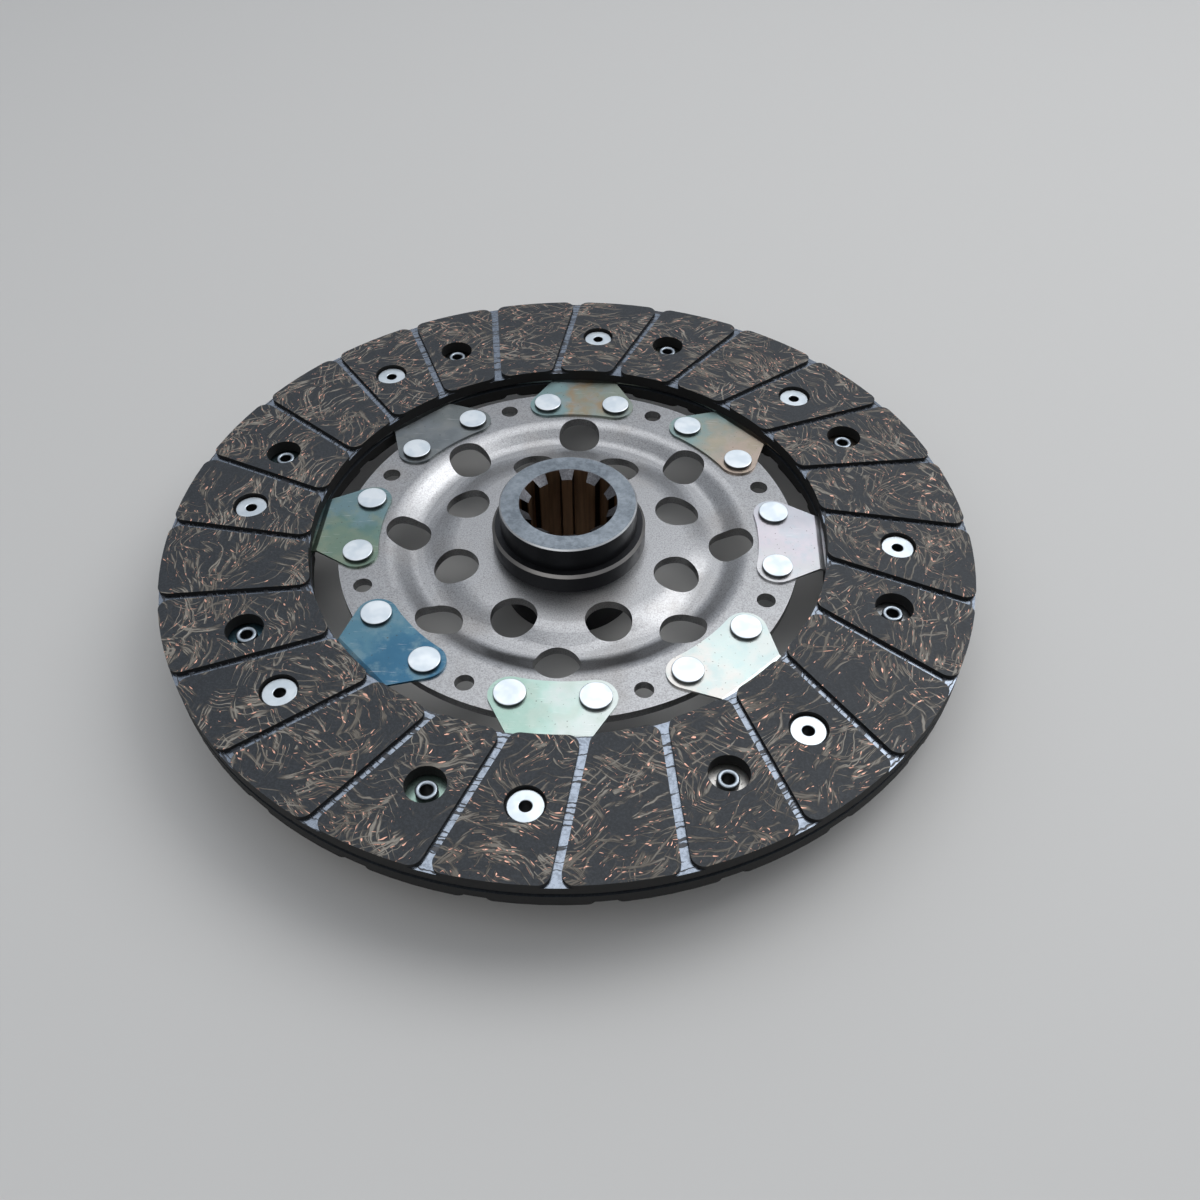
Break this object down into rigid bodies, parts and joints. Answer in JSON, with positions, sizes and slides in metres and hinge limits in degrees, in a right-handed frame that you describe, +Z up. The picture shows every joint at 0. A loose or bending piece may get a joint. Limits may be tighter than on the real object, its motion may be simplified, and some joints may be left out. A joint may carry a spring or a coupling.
{
  "type": "clutch disc",
  "caption": "Rigid clutch disc: splined hub in a pressed plate, waved spring segments and grooved, riveted friction facings on both sides, with no damper springs",
  "frame": {"origin": "on the disc's axis, at the lower end face of the hub, which the disc stands on", "axes": "+Z up along the disc's axis, out of the longer end of the hub; +Y through the middle of one cushion segment; +X through the middle of another, a quarter turn away"},
  "size_m": [0.24, 0.24, 0.036],
  "materials": {
    "hub": "forged steel, black oxide, with ground end faces",
    "hub_weld": "weld metal, as laid",
    "carrier_plate": "pressed steel, satin with fine dark specks",
    "facing": "moulded friction lining with fibres and copper threads, ground",
    "segment_rivet": "zinc plated, smooth",
    "facing_rivet": "zinc plated, smooth",
    "cushion_segment_1": "hardened spring steel, pale with heat tint",
    "cushion_segment_2": "hardened spring steel, pale with heat tint",
    "cushion_segment_3": "hardened spring steel, pale with heat tint",
    "cushion_segment_4": "hardened spring steel, pale with heat tint",
    "cushion_segment_5": "hardened spring steel, pale with heat tint",
    "cushion_segment_6": "hardened spring steel, pale with heat tint",
    "cushion_segment_7": "hardened spring steel, pale with heat tint",
    "cushion_segment_8": "hardened spring steel, pale with heat tint"
  },
  "bodies": {
    "root": {"hub": "hub", "hub_weld": "hub_weld", "carrier_plate": "carrier_plate", "facing_upper": "facing", "facing_lower": "facing", "cushion_segment_1": "cushion_segment_1", "cushion_segment_2": "cushion_segment_2", "cushion_segment_3": "cushion_segment_3", "cushion_segment_4": "cushion_segment_4", "cushion_segment_5": "cushion_segment_5", "cushion_segment_6": "cushion_segment_6", "cushion_segment_7": "cushion_segment_7", "cushion_segment_8": "cushion_segment_8", "segment_rivet_1a": "segment_rivet", "segment_rivet_1b": "segment_rivet", "segment_rivet_2a": "segment_rivet", "segment_rivet_2b": "segment_rivet", "segment_rivet_3a": "segment_rivet", "segment_rivet_3b": "segment_rivet", "segment_rivet_4a": "segment_rivet", "segment_rivet_4b": "segment_rivet", "segment_rivet_5a": "segment_rivet", "segment_rivet_5b": "segment_rivet", "segment_rivet_6a": "segment_rivet", "segment_rivet_6b": "segment_rivet", "segment_rivet_7a": "segment_rivet", "segment_rivet_7b": "segment_rivet", "segment_rivet_8a": "segment_rivet", "segment_rivet_8b": "segment_rivet", "facing_rivet_upper_1": "facing_rivet", "facing_rivet_upper_2": "facing_rivet", "facing_rivet_upper_3": "facing_rivet", "facing_rivet_upper_4": "facing_rivet", "facing_rivet_upper_5": "facing_rivet", "facing_rivet_upper_6": "facing_rivet", "facing_rivet_upper_7": "facing_rivet", "facing_rivet_upper_8": "facing_rivet", "facing_rivet_lower_1": "facing_rivet", "facing_rivet_lower_2": "facing_rivet", "facing_rivet_lower_3": "facing_rivet", "facing_rivet_lower_4": "facing_rivet", "facing_rivet_lower_5": "facing_rivet", "facing_rivet_lower_6": "facing_rivet", "facing_rivet_lower_7": "facing_rivet", "facing_rivet_lower_8": "facing_rivet"}
  },
  "joints": []
}
